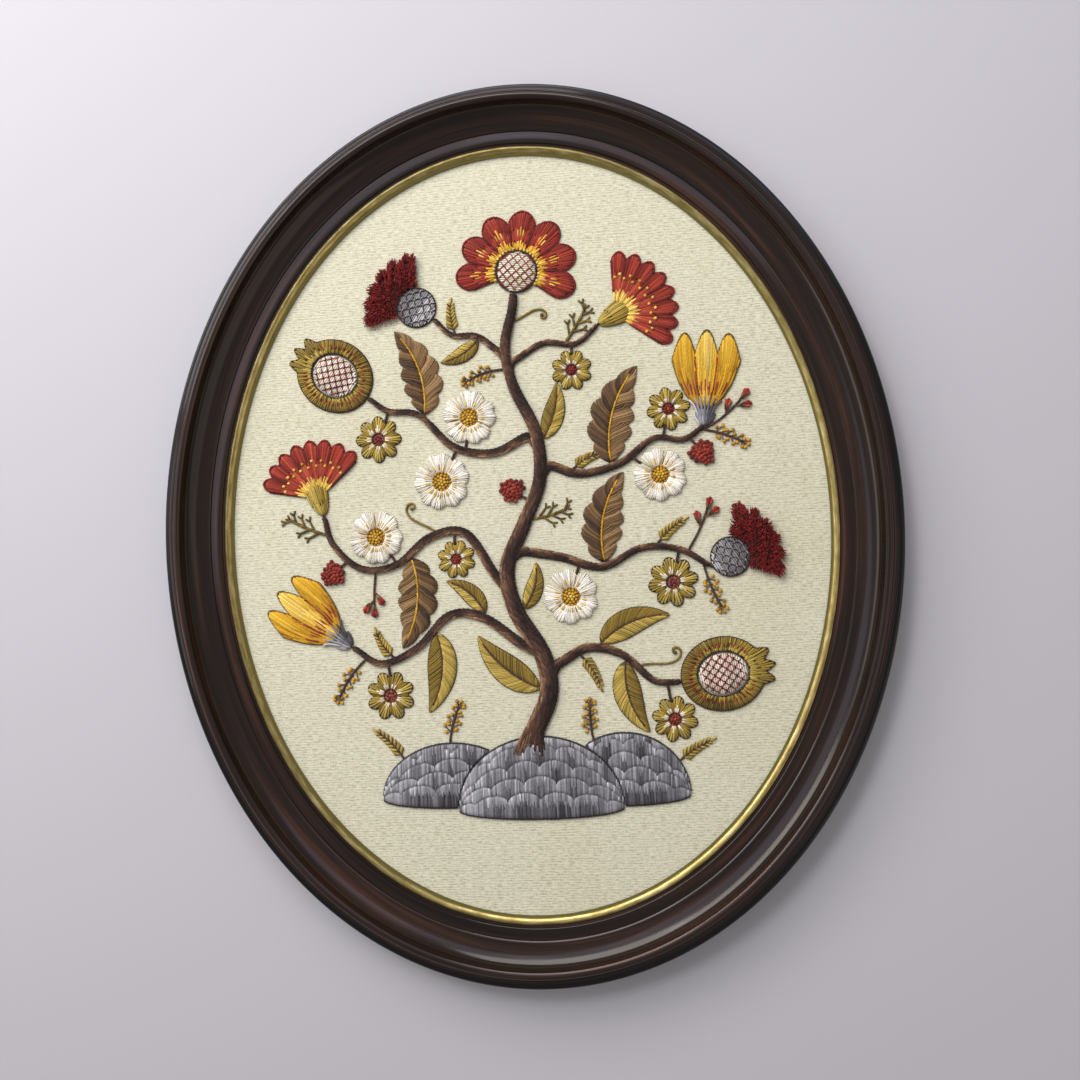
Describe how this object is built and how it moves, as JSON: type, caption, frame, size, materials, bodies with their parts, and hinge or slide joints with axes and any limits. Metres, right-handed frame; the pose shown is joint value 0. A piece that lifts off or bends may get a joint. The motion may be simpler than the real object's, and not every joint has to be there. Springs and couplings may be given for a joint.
{
  "type": "crewel embroidery panel in oval frame",
  "caption": "Oval moulded wooden frame with a gilt inner lip, holding a flat linen panel worked in wool crewel with a flowering tree on mounds.",
  "frame": {"origin": "centre of the frame's back, on the surface that it lies on", "axes": "+Z out of the stitched face, +Y towards the top of the picture, +X to the right of the picture"},
  "size_m": [0.4816, 0.5868, 0.0299],
  "materials": {
    "stained_walnut": "dark brown stain under satin lacquer, reddish streaks along the moulding",
    "worn_gilt": "dull gold paint, rubbed",
    "natural_linen": "plain weave with slubs",
    "grey_yarn": "wool crewel yarn, long and short stitch",
    "brown_yarn": "wool crewel yarn, stem stitch",
    "rust_yarn": "wool crewel yarn, long and short stitch and knots",
    "maroon_yarn": "wool crewel yarn, cut pile",
    "mustard_yarn": "wool crewel yarn, satin stitch",
    "gold_yarn": "wool crewel yarn, long and short stitch and knots",
    "cream_yarn": "wool crewel yarn, satin stitch and trellis",
    "tan_yarn": "wool crewel yarn, fishbone stitch"
  },
  "bodies": {
    "root": {"berries_1_cluster": "rust_yarn", "berries_2_cluster": "rust_yarn", "berries_3_cluster": "rust_yarn", "bough_low_left": "brown_yarn", "bough_low_right": "brown_yarn", "bough_mid_left": "brown_yarn", "bough_mid_right": "brown_yarn", "bough_top_left": "brown_yarn", "bough_top_right": "brown_yarn", "carnation_1_calyx": "mustard_yarn", "carnation_1_petals": "rust_yarn", "carnation_2_calyx": "mustard_yarn", "carnation_2_petals": "rust_yarn", "daisy_1_petals": "mustard_yarn", "daisy_2_petals": "mustard_yarn", "daisy_3_petals": "mustard_yarn", "daisy_4_petals": "mustard_yarn", "daisy_5_petals": "mustard_yarn", "daisy_6_petals": "mustard_yarn", "daisy_7_petals": "mustard_yarn", "fruit_1_heart": "cream_yarn", "fruit_1_rind": "mustard_yarn", "fruit_2_heart": "cream_yarn", "fruit_2_rind": "mustard_yarn", "gilt_slip": "worn_gilt", "leaf_1_blade": "mustard_yarn", "leaf_2_blade": "mustard_yarn", "leaf_3_blade": "mustard_yarn", "leaf_4_blade": "mustard_yarn", "leaf_5_blade": "mustard_yarn", "leaf_6_blade": "mustard_yarn", "leaf_7_blade": "mustard_yarn", "leaf_8_blade": "mustard_yarn", "linen_panel": "natural_linen", "mound_front": "grey_yarn", "mound_left": "grey_yarn", "mound_right": "grey_yarn", "oval_frame": "stained_walnut", "palmette_1_heart": "cream_yarn", "palmette_1_petals": "rust_yarn", "plume_1_blade": "tan_yarn", "plume_2_blade": "tan_yarn", "plume_3_blade": "tan_yarn", "plume_4_blade": "tan_yarn", "rose_1_petals": "cream_yarn", "rose_2_petals": "cream_yarn", "rose_3_petals": "cream_yarn", "rose_4_petals": "cream_yarn", "rose_5_petals": "cream_yarn", "thistle_1_bulb": "grey_yarn", "thistle_1_tuft": "maroon_yarn", "thistle_2_bulb": "grey_yarn", "thistle_2_tuft": "maroon_yarn", "trunk": "brown_yarn", "tulip_1_calyx": "grey_yarn", "tulip_1_petals": "gold_yarn", "tulip_2_calyx": "grey_yarn", "tulip_2_petals": "gold_yarn", "twig_left": "brown_yarn", "twig_right": "brown_yarn"}
  },
  "joints": []
}
